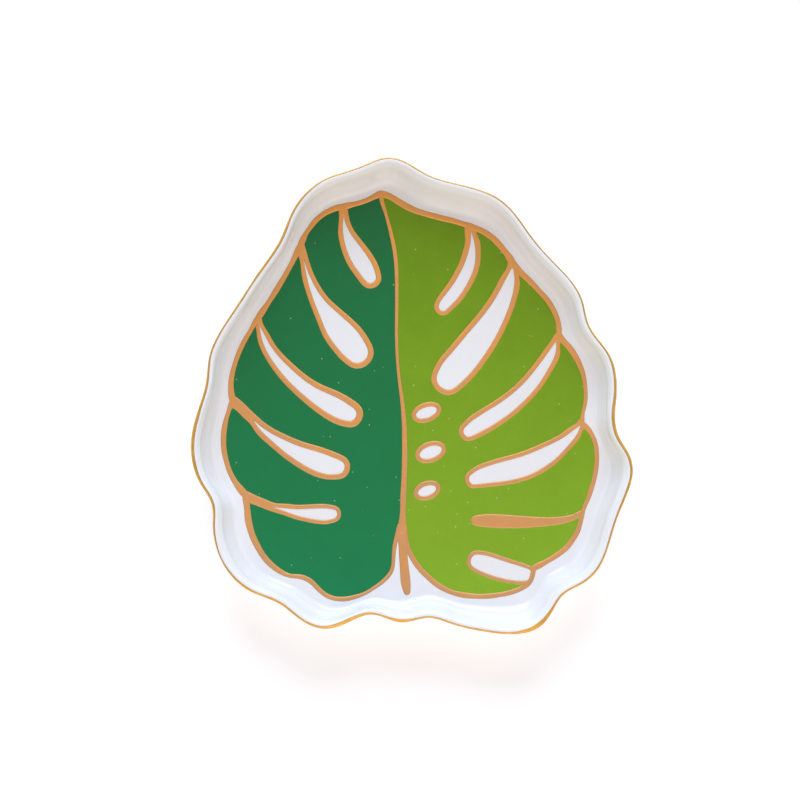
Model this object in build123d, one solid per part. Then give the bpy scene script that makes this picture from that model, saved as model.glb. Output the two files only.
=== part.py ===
from build123d import *
import math
import os

# Ring dish: a small glazed porcelain tray shaped like a split leaf. The body is one cast and
# fired piece. A clear glaze covers it, gold lustre wraps its lip, and a leaf is printed on the
# floor in two green enamels with gold lines. Millimetres, +Z up, +Y towards the leaf's tip,
# origin on the table under the middle of the dish.

# Sizes of the whole dish, over the gold on the lip
dish_length = 127.7
dish_width = 117.3
dish_height = 15.0

# Heights of the floor and the foot, and the widths of the wall, all over the glaze
floor_top = 4.3
foot_height = 1.0
floor_run = 10.0       # widest way from the outer edge of the lip in to the flat of the floor
base_run = 7.0         # widest way from the outer edge of the lip in to the underside's edge
lip_width = 1.5
foot_run = 13.8        # from the dish's own box in to the outside of the foot
foot_width = 2.8

# Coats
glaze_coat = 0.3
gold_coat = 0.16
enamel_coat = 0.12
gold_band_depth = 1.1  # how far the gold reaches down both sides of the lip

# The printed leaf
leaf_run = 6.3         # from the outer edge of the lip in to the leaf's own box
line_width = 1.4       # nominal width of the gold lines along the edges and veins
slot_line_width = 1.25  # nominal width of the gold round the slots and spots

# Outline of the lip from the tip clockwise, as shares of the dish's width and length, and how
# far in the wall reaches there, as a share of floor_run inside and of base_run outside
LIP_SHARES = (
    (-0.0520, 0.5000, 0.65), (-0.0150, 0.4910, 0.71), (0.0400, 0.4620, 0.72),
    (0.0950, 0.4460, 0.70), (0.1550, 0.4310, 0.70), (0.1980, 0.4130, 0.66), (0.2380, 0.3780, 0.60),
    (0.2780, 0.3260, 0.57), (0.3250, 0.2760, 0.58), (0.3660, 0.2340, 0.61), (0.3890, 0.1950, 0.60),
    (0.4020, 0.1460, 0.53), (0.4240, 0.1130, 0.50), (0.4490, 0.0810, 0.58), (0.4630, 0.0400, 0.62),
    (0.4640, -0.0050, 0.62), (0.4600, -0.0550, 0.53), (0.4700, -0.0940, 0.46),
    (0.4910, -0.1270, 0.62), (0.4990, -0.1630, 0.76), (0.4890, -0.2030, 0.78),
    (0.4630, -0.2600, 0.75), (0.4420, -0.3200, 0.75), (0.4140, -0.3720, 0.85),
    (0.3800, -0.3980, 0.85), (0.3380, -0.4210, 0.77), (0.3160, -0.4520, 0.82),
    (0.2840, -0.4870, 0.95), (0.2350, -0.5000, 0.95), (0.1550, -0.4940, 0.83),
    (0.0900, -0.4800, 0.75), (0.0350, -0.4670, 0.74), (-0.0250, -0.4760, 0.68),
    (-0.0900, -0.4600, 0.52), (-0.1500, -0.4790, 0.56), (-0.2000, -0.4890, 0.72),
    (-0.2450, -0.4740, 0.77), (-0.3000, -0.4370, 0.68), (-0.3620, -0.4130, 0.73),
    (-0.4040, -0.3830, 0.82), (-0.4370, -0.3320, 0.84), (-0.4490, -0.2760, 0.77),
    (-0.4520, -0.2320, 0.70), (-0.4780, -0.1900, 0.69), (-0.4975, -0.1400, 0.72),
    (-0.4995, -0.0950, 0.67), (-0.4840, -0.0330, 0.58), (-0.4670, 0.0250, 0.46),
    (-0.4610, 0.0750, 0.48), (-0.4430, 0.1190, 0.47), (-0.4000, 0.1830, 0.40),
    (-0.3450, 0.2620, 0.36), (-0.3010, 0.3250, 0.33), (-0.2720, 0.3880, 0.39),
    (-0.2400, 0.4270, 0.46), (-0.1950, 0.4560, 0.54), (-0.1250, 0.4780, 0.58),
)

# Inside of the wall from the flat of the floor up to the lip: how far in, as a share of the
# wall's reach, and how high, as a share of the way from the floor to the lip
INSIDE_SHARES = (
    (1.00, 0.000), (0.84, 0.014), (0.68, 0.060), (0.54, 0.150), (0.42, 0.290), (0.33, 0.470),
    (0.27, 0.670), (0.20, 0.820), (0.10, 0.905),
)

# Outside of the wall from the underside up to the lip: how far in, as a share of the wall's
# reach, and how high, as a share of the way from the underside to the lip
OUTSIDE_SHARES = (
    (1.00, 0.000), (0.88, 0.020), (0.74, 0.080), (0.56, 0.190), (0.40, 0.330), (0.25, 0.520),
    (0.12, 0.740),
)

# Rounding of the lip: how far across, and how far down, as shares of lip_width
LIP_ROUND_SHARES = ((0.00, 0.36), (0.10, 0.10), (0.34, 0.00))

# Where each line of the leaf runs, as shares of the leaf's width and length, and how wide it
# is there, as a share of line_width. The left edge goes from the tip down to the midrib's foot.
LEFT_EDGE_SHARES = (
    (
        (-0.080, 0.4840, 1.30), (-0.102, 0.4747, 1.05), (-0.129, 0.4640, 0.95),
        (-0.154, 0.4580, 1.05), (-0.178, 0.4530, 1.15),
    ),
    (
        (-0.1780, 0.4530, 1.15), (-0.2005, 0.4480, 1.12), (-0.2245, 0.4375, 1.05),
        (-0.2445, 0.4235, 1.03), (-0.2595, 0.4075, 1.00), (-0.2730, 0.3900, 0.92),
        (-0.2880, 0.3600, 1.10),
    ),
    (
        (-0.2880, 0.3600, 1.10), (-0.3025, 0.3320, 1.03), (-0.3140, 0.3110, 0.98),
        (-0.3320, 0.2810, 1.00), (-0.3515, 0.2510, 1.10), (-0.3725, 0.2205, 0.97),
        (-0.3960, 0.1880, 1.05),
    ),
    (
        (-0.3960, 0.1880, 1.05), (-0.4120, 0.1630, 0.88), (-0.4295, 0.1358, 0.90),
        (-0.4450, 0.1053, 0.90), (-0.4570, 0.0725, 0.90), (-0.4640, 0.0410, 1.02),
        (-0.4642, 0.0150, 1.15), (-0.4605, -0.0100, 1.10),
    ),
    (
        (-0.4605, -0.0100, 1.10), (-0.4700, -0.0320, 0.83), (-0.4767, -0.0530, 0.90),
        (-0.4815, -0.0790, 1.08), (-0.4828, -0.1000, 1.05), (-0.4811, -0.1240, 1.05),
        (-0.4748, -0.1500, 0.97), (-0.4648, -0.1768, 0.98), (-0.4485, -0.2030, 1.15),
        (-0.4245, -0.2305, 1.25),
    ),
    (
        (-0.4245, -0.2305, 1.25), (-0.4208, -0.2600, 1.18), (-0.4186, -0.2820, 1.32),
        (-0.4135, -0.3040, 1.27), (-0.4060, -0.3250, 1.22), (-0.3957, -0.3447, 1.22),
        (-0.3840, -0.3634, 1.15), (-0.3702, -0.3802, 1.17), (-0.3535, -0.3948, 1.10),
        (-0.3335, -0.4075, 0.95), (-0.3075, -0.4168, 0.78), (-0.2880, -0.4182, 0.85),
        (-0.2708, -0.4225, 0.95), (-0.2550, -0.4313, 0.95), (-0.2415, -0.4435, 0.92),
        (-0.2273, -0.4555, 0.88), (-0.2096, -0.4653, 0.85), (-0.1900, -0.4698, 0.85),
        (-0.1700, -0.4701, 0.90), (-0.1412, -0.4643, 0.78), (-0.1175, -0.4560, 0.65),
        (-0.0972, -0.4447, 0.65), (-0.0783, -0.4325, 0.72), (-0.0637, -0.4200, 0.76),
        (-0.0523, -0.4050, 0.75), (-0.0477, -0.3854, 0.70), (-0.0460, -0.3605, 0.75),
        (-0.0432, -0.3425, 0.80), (-0.0370, -0.3200, 0.90), (-0.0290, -0.2950, 0.90),
    ),
)

# The right edge goes from the tip down to the midrib's foot
RIGHT_EDGE_SHARES = (
    (
        (-0.0800, 0.4840, 1.15), (-0.0590, 0.4785, 1.22), (-0.0400, 0.4683, 1.25),
        (-0.0215, 0.4580, 1.27), (-0.0010, 0.4480, 1.28), (0.0200, 0.4403, 1.15),
        (0.0500, 0.4322, 1.12), (0.0790, 0.4252, 1.12), (0.1080, 0.4188, 1.08),
        (0.1370, 0.4105, 1.08), (0.1570, 0.4045, 1.15),
    ),
    (
        (0.1570, 0.4045, 1.15), (0.1765, 0.3975, 1.12), (0.1955, 0.3875, 1.20),
        (0.2133, 0.3748, 1.20), (0.2288, 0.3592, 1.20), (0.2443, 0.3417, 1.17),
        (0.2593, 0.3210, 1.30),
    ),
    (
        (0.2593, 0.3210, 1.30), (0.2740, 0.3035, 1.22), (0.2882, 0.2895, 1.20),
        (0.3078, 0.2725, 1.10), (0.3266, 0.2535, 1.00), (0.3455, 0.2345, 1.03),
        (0.3605, 0.2147, 1.02), (0.3718, 0.1934, 1.00), (0.3780, 0.1722, 1.00),
        (0.3797, 0.1520, 0.98),
    ),
    (
        (0.3797, 0.1500, 0.98), (0.3895, 0.1340, 1.15), (0.4040, 0.1193, 1.18),
        (0.4178, 0.1015, 1.15), (0.4303, 0.0801, 1.05), (0.4395, 0.0575, 0.90),
        (0.4442, 0.0372, 0.82), (0.4464, 0.0155, 0.76), (0.4463, -0.0045, 0.76),
        (0.4432, -0.0220, 0.72), (0.4385, -0.0400, 0.70), (0.4365, -0.0592, 0.82),
    ),
    (
        (0.4365, -0.0592, 0.82), (0.4505, -0.0730, 0.95), (0.4628, -0.0900, 0.87),
        (0.4708, -0.1102, 0.84), (0.4736, -0.1340, 0.87), (0.4733, -0.1525, 0.87),
        (0.4703, -0.1725, 0.92), (0.4657, -0.1933, 0.85), (0.4577, -0.2170, 0.92),
        (0.4487, -0.2408, 0.82), (0.4397, -0.2595, 0.78), (0.4335, -0.2815, 0.80),
        (0.4286, -0.2978, 0.90), (0.4215, -0.3154, 0.98), (0.4096, -0.3328, 1.05),
        (0.3963, -0.3490, 1.02), (0.3808, -0.3613, 1.03), (0.3632, -0.3724, 1.00),
        (0.3415, -0.3842, 0.98), (0.3110, -0.3985, 1.05),
    ),
    (
        (0.3110, -0.3985, 0.95), (0.3087, -0.4086, 0.90), (0.3054, -0.4207, 0.90),
        (0.2984, -0.4325, 0.90), (0.2866, -0.4411, 0.95), (0.2668, -0.4502, 0.90),
        (0.2453, -0.4565, 0.95), (0.2290, -0.4594, 0.90), (0.2050, -0.4626, 0.95),
        (0.1812, -0.4640, 0.95), (0.1575, -0.4635, 0.95), (0.1335, -0.4613, 1.05),
        (0.1078, -0.4564, 0.95), (0.0840, -0.4474, 1.02), (0.0607, -0.4344, 1.05),
        (0.0413, -0.4190, 1.05), (0.0237, -0.4030, 1.05), (0.0084, -0.3845, 1.05),
        (-0.0030, -0.3665, 1.00), (-0.0115, -0.3470, 1.00), (-0.0165, -0.3240, 1.00),
        (-0.0190, -0.2980, 0.90),
    ),
)

MIDRIB_SHARES = (
    (-0.0800, 0.4800, 0.80), (-0.0690, 0.4422, 0.71), (-0.0553, 0.3968, 0.78),
    (-0.0454, 0.3550, 0.83), (-0.0402, 0.3138, 0.82), (-0.0387, 0.2700, 0.75),
    (-0.0389, 0.2000, 0.70), (-0.0392, 0.1450, 0.67), (-0.0370, 0.0900, 0.62),
    (-0.0315, 0.0374, 0.67), (-0.0258, 0.0000, 0.77), (-0.0223, -0.0300, 0.87),
    (-0.0199, -0.0600, 0.94), (-0.0185, -0.1000, 1.04), (-0.0183, -0.1400, 1.10),
    (-0.0198, -0.1900, 1.10), (-0.0222, -0.2400, 1.18), (-0.0236, -0.2800, 1.26),
    (-0.0250, -0.3080, 1.50),
)

STEM_SHARES = (
    (-0.0245, -0.3000, 1.75), (-0.0240, -0.3300, 1.66), (-0.0228, -0.3605, 1.60),
    (-0.0206, -0.3856, 1.65), (-0.0181, -0.4108, 1.78), (-0.0158, -0.4323, 1.82),
    (-0.0126, -0.4535, 1.28),
)

VEIN_BAR_SHARES = (
    (0.1645, -0.2884, 2.02), (0.1900, -0.2885, 2.52), (0.2245, -0.2897, 2.66),
    (0.2718, -0.2912, 2.40), (0.3192, -0.2914, 1.98), (0.3589, -0.2900, 1.60),
    (0.3907, -0.2860, 1.38), (0.4149, -0.2796, 1.13), (0.4371, -0.2688, 0.95),
)

# Each slot runs from its mouth at the edge to its blunt end: where, and how wide the bare
# opening is there, as a share of the leaf's width. The gold line goes round the opening.
LEFT_SLOT_SHARES = (
    (
        (-0.1770, 0.4530, 0.0), (-0.1760, 0.4320, 0.0), (-0.1716, 0.3986, 0.0137),
        (-0.1623, 0.3745, 0.0253), (-0.1478, 0.3486, 0.0364), (-0.1312, 0.3234, 0.0410),
        (-0.1160, 0.3013, 0.0373), (-0.1076, 0.2861, 0.0306),
    ),
    (
        (-0.2880, 0.3600, 0.0), (-0.2785, 0.3275, 0.0), (-0.2712, 0.2982, 0.0055),
        (-0.2549, 0.2571, 0.0152), (-0.2359, 0.2233, 0.0265), (-0.2153, 0.1950, 0.0421),
        (-0.1923, 0.1656, 0.0596), (-0.1687, 0.1401, 0.0657), (-0.1495, 0.1179, 0.0622),
        (-0.1412, 0.1086, 0.0575),
    ),
    (
        (-0.3960, 0.1880, 0.0), (-0.3920, 0.1690, 0.0), (-0.3845, 0.1483, 0.0089),
        (-0.3705, 0.1193, 0.0147), (-0.3468, 0.0877, 0.0199), (-0.3136, 0.0542, 0.0258),
        (-0.2765, 0.0239, 0.0302), (-0.2382, -0.0002, 0.0385), (-0.2048, -0.0175, 0.0456),
        (-0.1790, -0.0303, 0.0440), (-0.1608, -0.0379, 0.0370),
    ),
    (
        (-0.4605, -0.0080, 0.0), (-0.4395, -0.0235, 0.0), (-0.4230, -0.0385, 0.0),
        (-0.4070, -0.0520, 0.0), (-0.3893, -0.0703, 0.0068), (-0.3545, -0.0951, 0.0160),
        (-0.3221, -0.1144, 0.0264), (-0.2899, -0.1308, 0.0358), (-0.2599, -0.1432, 0.0445),
        (-0.2278, -0.1544, 0.0479), (-0.2061, -0.1600, 0.0438), (-0.1911, -0.1624, 0.0375),
    ),
    (
        (-0.4220, -0.2310, 0.0), (-0.3945, -0.2430, 0.0), (-0.3710, -0.2515, 0.0),
        (-0.3550, -0.2570, 0.0), (-0.3279, -0.2616, 0.0063), (-0.3000, -0.2673, 0.0138),
        (-0.2680, -0.2708, 0.0229), (-0.2380, -0.2726, 0.0294), (-0.2180, -0.2730, 0.0300),
        (-0.2036, -0.2726, 0.0250),
    ),
)

RIGHT_SLOT_SHARES = (
    (
        (0.1530, 0.4060, 0.0), (0.1518, 0.3965, 0.0), (0.1565, 0.3740, 0.0075),
        (0.1562, 0.3488, 0.0170), (0.1516, 0.3230, 0.0246), (0.1389, 0.2920, 0.0284),
        (0.1209, 0.2628, 0.0298), (0.1003, 0.2375, 0.0292), (0.0877, 0.2244, 0.0266),
        (0.0812, 0.2167, 0.0240),
    ),
    (
        (0.2630, 0.3180, 0.0), (0.2604, 0.3080, 0.0), (0.2555, 0.2827, 0.0204),
        (0.2449, 0.2509, 0.0335), (0.2245, 0.2097, 0.0447), (0.2035, 0.1764, 0.0543),
        (0.1781, 0.1424, 0.0636), (0.1519, 0.1105, 0.0687), (0.1253, 0.0805, 0.0702),
        (0.1050, 0.0600, 0.0676), (0.0944, 0.0473, 0.0615),
    ),
    (
        (0.3805, 0.1450, 0.0), (0.3712, 0.1320, 0.0), (0.3663, 0.1165, 0.0120),
        (0.3402, 0.0738, 0.0248), (0.3132, 0.0391, 0.0298), (0.2783, 0.0051, 0.0328),
        (0.2463, -0.0195, 0.0358), (0.2082, -0.0431, 0.0378), (0.1782, -0.0599, 0.0370),
        (0.1593, -0.0706, 0.0336), (0.1464, -0.0786, 0.0280),
    ),
    (
        (0.4380, -0.0592, 0.0), (0.4330, -0.0650, 0.0), (0.4200, -0.0803, 0.0127),
        (0.3946, -0.1027, 0.0236), (0.3649, -0.1237, 0.0360), (0.3311, -0.1424, 0.0455),
        (0.2949, -0.1580, 0.0503), (0.2567, -0.1684, 0.0510), (0.2189, -0.1760, 0.0470),
        (0.1865, -0.1825, 0.0400), (0.1711, -0.1868, 0.0348), (0.1605, -0.1905, 0.0285),
    ),
    (
        (0.2901, -0.4132, 0.0313), (0.2775, -0.4116, 0.0361), (0.2360, -0.4029, 0.0428),
        (0.2094, -0.3955, 0.0442), (0.1832, -0.3873, 0.0418), (0.1682, -0.3829, 0.0370),
    ),
)

# How wide the gold line round each slot is, at its mouth and at its blunt end, as shares of
# slot_line_width
LEFT_SLOT_LINE_SHARES = (
    (1.05, 1.24), (0.95, 1.26), (0.82, 1.47), (1.15, 1.22), (1.02, 0.88),
)
RIGHT_SLOT_LINE_SHARES = (
    (1.34, 1.02), (1.22, 1.20), (1.05, 1.03), (1.00, 0.92), (0.82, 0.84),
)

# Bare oval spots beside the midrib: centre, length and width as shares of the leaf's length
SPOT_SHARES = (
    (0.0375, -0.0346, 0.0508, 0.0243), (0.0483, -0.1279, 0.0538, 0.0275),
    (0.0390, -0.2180, 0.0440, 0.0225),
)
spot_turn = 19.0       # degrees, from across the dish towards the tip

# How many points of the outline each way are averaged where its waves have died out
plain_reach = 3

leaf_width = dish_width - 2 * leaf_run
leaf_length = dish_length - 2 * leaf_run
lip_top = dish_height - gold_coat


def average(points, reach):
    """Each point of a closed outline averaged with some neighbours each way."""
    count = len(points)
    means = []
    for i in range(count):
        near = [points[(i + j) % count] for j in range(-reach, reach + 1)]
        means.append(sum(near, Vector()) / len(near))
    return means


def inwards(points, i):
    """Unit direction into a clockwise outline at one of its points."""
    along = (points[(i + 1) % len(points)] - points[i - 1]).normalized()
    return Vector(along.Y, -along.X)


def lengths_round(points):
    """How far round a closed outline each point lies, and the whole way round."""
    far = [0.0]
    for i in range(len(points)):
        far.append(far[-1] + (points[(i + 1) % len(points)] - points[i]).length)
    return far


LIP = [Vector(x * dish_width, y * dish_length) for x, y, reach in LIP_SHARES]
LIP_LENGTHS = lengths_round(LIP)
PLAIN = average(LIP, plain_reach)
INTO = [inwards(LIP, i) for i in range(len(LIP))]
DEEP_INTO = [inwards(PLAIN, i) for i in range(len(LIP))]


def loop_through(points):
    """Closed wire through one point for each point of the lip's outline."""
    return Wire([Edge.make_spline(points, periodic=True, parameters=LIP_LENGTHS)])


def inside_profile(reach):
    """Inset and height of the glazed inside, from the flat of the floor up to the lip."""
    edge = gold_coat + lip_width
    wall = reach * floor_run - edge
    stations = [
        (edge + run * wall, floor_top + rise * (lip_top - floor_top))
        for run, rise in INSIDE_SHARES
    ]
    for across, down in LIP_ROUND_SHARES:
        stations.append((edge - across * lip_width, lip_top - down * lip_width))
    return stations


def outside_profile(reach):
    """Inset and height of the glazed outside, from the underside up to the lip."""
    wall = reach * base_run - gold_coat
    stations = [
        (gold_coat + run * wall, foot_height + rise * (lip_top - foot_height))
        for run, rise in OUTSIDE_SHARES
    ]
    for across, down in LIP_ROUND_SHARES:
        stations.append((gold_coat + across * lip_width, lip_top - down * lip_width))
    return stations


def moved(profile, side, coat):
    """A profile moved off its surface by a coat; side is 1 on the outside, -1 on the inside."""
    last = len(profile) - 1
    stations = []
    for i, (inset, height) in enumerate(profile):
        if i == 0:
            stations.append((inset, height - side * coat))
        elif i == last:
            stations.append((inset, height + coat))
        else:
            run = profile[i + 1][0] - profile[i - 1][0]
            rise = profile[i + 1][1] - profile[i - 1][1]
            step = side * coat / math.hypot(run, rise)
            stations.append((inset - step * rise, height + step * run))
    return stations


def wall_point(i, reach, inset, height):
    """Point of the wall under one point of the lip; the lip's waves turn plainer inwards."""
    calm = min(max(inset / (reach * floor_run), 0), 1)
    return LIP[i] + (INTO[i] * (1 - calm) + DEEP_INTO[i] * calm) * inset + Vector(0, 0, height)


def block(profile_of, side, coat):
    """Solid inside one surface of the wall, moved off it by a coat, level with the lip."""
    columns = []
    for i, (x, y, reach) in enumerate(LIP_SHARES):
        profile = moved(profile_of(reach), side, coat)
        columns.append([wall_point(i, reach, inset, height) for inset, height in profile])
    return Solid.make_loft([loop_through(list(level)) for level in zip(*columns)], ruled=True)


def hollow(coat):
    """The space inside the dish, with a coat laid on its floor and walls."""
    return block(inside_profile, -1, coat)


def shell(coat):
    """The dish without its foot, with a coat on all its faces."""
    return block(outside_profile, 1, coat) - hollow(coat)


def foot_outline(inset):
    """Closed outline at the table, the lip's without its waves, drawn in by an inset."""
    narrow = (dish_width - 2 * inset) / dish_width
    short = (dish_length - 2 * inset) / dish_length
    return loop_through([Vector(point.X * narrow, point.Y * short) for point in PLAIN])


def make_foot():
    """Ring that the dish stands on, up to the underside of the clay."""
    outer = Face(foot_outline(foot_run))
    inner = Face(foot_outline(foot_run + foot_width))
    return extrude(outer - inner, amount=foot_height + glaze_coat, dir=(0, 0, 1))


def make_rim_band(glazed):
    """Gold round the lip, down both its sides."""
    reach = Box(2 * dish_width, 2 * dish_length, 2 * gold_band_depth)
    return (shell(gold_coat) - glazed) & (Pos(0, 0, dish_height) * reach)


def at(share):
    """Point of the leaf's plan from shares of its width and length."""
    return Vector(share[0] * leaf_width, share[1] * leaf_length)


def cap(point, along, width):
    """Three points round the end of a line, from its left side to its right."""
    ahead = along.normalized() * (width / 2)
    left = Vector(-ahead.Y, ahead.X)
    corner = math.sqrt(0.5)
    return [point + (ahead + left) * corner, point + ahead, point + (ahead - left) * corner]


def line_face(points, widths, pointed=False):
    """Face of a line that changes in width, with round ends or a pointed start."""
    last = len(points) - 1
    left = []
    right = []
    for i, (point, width) in enumerate(zip(points, widths)):
        along = (points[min(i + 1, last)] - points[max(i - 1, 0)]).normalized()
        side = Vector(-along.Y, along.X) * (width / 2)
        left.append(point + side)
        right.insert(0, point - side)
    end = cap(points[-1], points[-1] - points[-2], widths[-1])
    if pointed:
        loop = Spline([points[0]] + left[1:] + end + right[:-1] + [points[0]])
    else:
        start = cap(points[0], points[0] - points[1], widths[0])
        loop = Spline(left + end + right + start, periodic=True)
    return Sketch() + Face(Wire(loop))


def gold_line(shares):
    """Face of one gold line from its table."""
    return line_face([at(share) for share in shares], [share[2] * line_width for share in shares])


def edge_lines(lobes):
    """Face of the gold line round one half of the leaf, lobe by lobe."""
    line = Sketch()
    for lobe in lobes:
        line += gold_line(lobe)
    return line


def slot_faces(shares, line_shares):
    """Faces of a slot: over its gold line, and its bare opening alone."""
    points = [at(share) for share in shares]
    widths = [share[2] * leaf_width for share in shares]
    mouth, end = [share * slot_line_width for share in line_shares]
    last = len(shares) - 1
    lines = [mouth + (end - mouth) * i / last for i in range(last + 1)]
    whole = line_face(points, [width + 2 * line for width, line in zip(widths, lines)])
    closed = sum(1 for width in widths if width == 0)
    if closed:
        opening = line_face(points[closed - 1:], widths[closed - 1:], pointed=True)
    else:
        opening = line_face(points, widths)
    return whole, opening


def spot_faces(share):
    """Faces of an oval spot: over its gold ring, and its bare middle alone."""
    place = Pos(*at(share)) * Rot(0, 0, spot_turn)
    long = share[2] * leaf_length / 2
    short = share[3] * leaf_length / 2
    whole = Ellipse(long + slot_line_width, short + slot_line_width)
    return place * whole, place * Ellipse(long, short)


def half_area(lobes):
    """Face of one half of the leaf, along the middle of the lines round it."""
    points = [at(share) for lobe in lobes for share in lobe[:-1]]
    points += [at(share) for share in reversed(MIDRIB_SHARES[1:-1])]
    return Sketch() + Face(Wire(Polyline(points, close=True)))


def leaf_regions():
    """Plan of each gold line and each green field, by node name; none overlaps another."""
    left = half_area(LEFT_EDGE_SHARES)
    right = half_area(RIGHT_EDGE_SHARES)
    wholes = {}
    openings = {}
    for name, area, slots, lines in (
        ("left", left, LEFT_SLOT_SHARES, LEFT_SLOT_LINE_SHARES),
        ("right", right, RIGHT_SLOT_SHARES, RIGHT_SLOT_LINE_SHARES),
    ):
        for number, (shares, line_shares) in enumerate(zip(slots, lines), start=1):
            whole, opening = slot_faces(shares, line_shares)
            wholes[f"slot_outline_{name}_{number}"] = whole & area
            openings[f"slot_outline_{name}_{number}"] = opening
    for number, share in enumerate(SPOT_SHARES, start=1):
        wholes[f"spot_ring_{number}"], openings[f"spot_ring_{number}"] = spot_faces(share)
    wholes["side_vein_bar"] = gold_line(VEIN_BAR_SHARES) & right

    regions = {}
    covered = Sketch()
    for name, face in (
        ("midrib_line", gold_line(MIDRIB_SHARES)),
        ("stem_line", gold_line(STEM_SHARES)),
        ("leaf_outline_left", edge_lines(LEFT_EDGE_SHARES)),
        ("leaf_outline_right", edge_lines(RIGHT_EDGE_SHARES)),
    ):
        regions[name] = face - covered
        covered += face
    for name, face in wholes.items():
        regions[name] = face - covered
        if name in openings:
            regions[name] -= openings[name]
    for face in wholes.values():
        covered += face
    regions["dark_leaf_half"] = left - covered
    regions["light_leaf_half"] = right - covered
    return regions


def main():
    """Build every piece and write it under its node's name."""
    os.makedirs("parts", exist_ok=True)
    foot = make_foot()
    glazed = shell(0)
    body = shell(-glaze_coat) + foot
    pieces = {
        "porcelain_body": body,
        "white_glaze": glazed - body,
        "rim_gold_band": make_rim_band(glazed),
    }
    for name, region in leaf_regions().items():
        coat = enamel_coat if name.endswith("_half") else gold_coat
        pieces[name] = Pos(0, 0, floor_top) * extrude(region, amount=coat, dir=(0, 0, 1))
    for name, piece in pieces.items():
        export_step(piece, f"parts/{name}.step")


main()
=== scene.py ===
"""Leaf-shaped ring dish: glazed porcelain, a printed leaf, gold lines and a gold lip."""
import logging
import math
from collections.abc import Callable
from dataclasses import dataclass, field
from enum import Enum
from functools import partial
from typing import Any

import bmesh
import bpy
import numpy as np
from bpy.types import Material, Node, NodeSocket, NodeTree, Object
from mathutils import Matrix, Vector
from mathutils.geometry import delaunay_2d_cdt


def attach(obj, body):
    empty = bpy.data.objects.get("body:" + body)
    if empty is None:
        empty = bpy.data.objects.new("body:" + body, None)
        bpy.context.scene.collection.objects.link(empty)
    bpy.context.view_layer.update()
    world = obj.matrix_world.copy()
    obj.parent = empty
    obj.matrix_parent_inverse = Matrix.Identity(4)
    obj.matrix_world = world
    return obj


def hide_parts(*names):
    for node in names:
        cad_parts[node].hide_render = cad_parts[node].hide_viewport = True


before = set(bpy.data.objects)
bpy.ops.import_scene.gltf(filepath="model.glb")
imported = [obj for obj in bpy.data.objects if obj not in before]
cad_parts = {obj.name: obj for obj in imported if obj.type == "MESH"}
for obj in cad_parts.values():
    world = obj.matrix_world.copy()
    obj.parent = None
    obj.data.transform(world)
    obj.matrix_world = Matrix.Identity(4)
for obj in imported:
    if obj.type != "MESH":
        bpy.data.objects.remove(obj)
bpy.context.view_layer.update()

LOG = logging.getLogger("ring_dish")
MM = 0.001  # metres in a millimetre
TIP_MM, STEM_MM = 52.0, -60.0  # where the printed leaf ends, along the dish
SEAT_MM = 0.04  # how far the underside of a coat sinks into the glaze
DROP_MM = 30.0  # height above the whole dish that a sheet is laid down from
WELD_MM = 0.001  # how near the two halves of a coat are joined
BATCH = 1000  # points that are measured against all sides at a time
TINY = 1e-9  # keeps the length of a direction above zero
SAME_PLACE = 1e-7  # metres between two corners of a node that count as one
LEVEL = 1e-6  # metres that a corner of a node's top face may lie under the highest
SAME_SPOT_MM = 1e-5  # between two points of a print's plan that count as one
SLIVER = 1e-7  # twice the square millimetres of a triangle that is left out
MIX_A, MIX_B, MIX_OUT = 6, 7, 2  # colour sockets of a Mix node, which share their names

Pair = tuple[float, float]
Triple = tuple[float, float, float]

# Outline of the lip from the tip clockwise, as shares of the dish's width and length, and how
# far in the wall reaches there, as a share of floor_run inside and of base_run outside
LIP_SHARES = (
    (-0.052, 0.5, 0.65), (-0.015, 0.491, 0.71), (0.04, 0.462, 0.72), (0.095, 0.446, 0.7),
    (0.155, 0.431, 0.7), (0.198, 0.413, 0.66), (0.238, 0.378, 0.6), (0.278, 0.326, 0.57),
    (0.325, 0.276, 0.58), (0.366, 0.234, 0.61), (0.389, 0.195, 0.6), (0.402, 0.146, 0.53),
    (0.424, 0.113, 0.5), (0.449, 0.081, 0.58), (0.463, 0.04, 0.62), (0.464, -0.005, 0.62),
    (0.46, -0.055, 0.53), (0.47, -0.094, 0.46), (0.491, -0.127, 0.62), (0.499, -0.163, 0.76),
    (0.489, -0.203, 0.78), (0.463, -0.26, 0.75), (0.442, -0.32, 0.75), (0.414, -0.372, 0.85),
    (0.38, -0.398, 0.85), (0.338, -0.421, 0.77), (0.316, -0.452, 0.82), (0.284, -0.487, 0.95),
    (0.235, -0.5, 0.95), (0.155, -0.494, 0.83), (0.09, -0.48, 0.75), (0.035, -0.467, 0.74),
    (-0.025, -0.476, 0.68), (-0.09, -0.46, 0.52), (-0.15, -0.479, 0.56), (-0.2, -0.489, 0.72),
    (-0.245, -0.474, 0.77), (-0.3, -0.437, 0.68), (-0.362, -0.413, 0.73), (-0.404, -0.383, 0.82),
    (-0.437, -0.332, 0.84), (-0.449, -0.276, 0.77), (-0.452, -0.232, 0.7), (-0.478, -0.19, 0.69),
    (-0.4975, -0.14, 0.72), (-0.4995, -0.095, 0.67), (-0.484, -0.033, 0.58), (-0.467, 0.025, 0.46),
    (-0.461, 0.075, 0.48), (-0.443, 0.119, 0.47), (-0.4, 0.183, 0.4), (-0.345, 0.262, 0.36),
    (-0.301, 0.325, 0.33), (-0.272, 0.388, 0.39), (-0.24, 0.427, 0.46), (-0.195, 0.456, 0.54),
    (-0.125, 0.478, 0.58),
)

# Inside of the wall from the floor's edge up to the lip: how far in, as a share of the wall's
# reach, and how high, as a share of the way from the floor to the lip
INSIDE_SHARES = (
    (1.00, 0.000), (0.84, 0.014), (0.68, 0.065), (0.54, 0.165), (0.42, 0.315), (0.32, 0.490),
    (0.25, 0.670), (0.16, 0.830), (0.05, 0.910),
)

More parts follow.
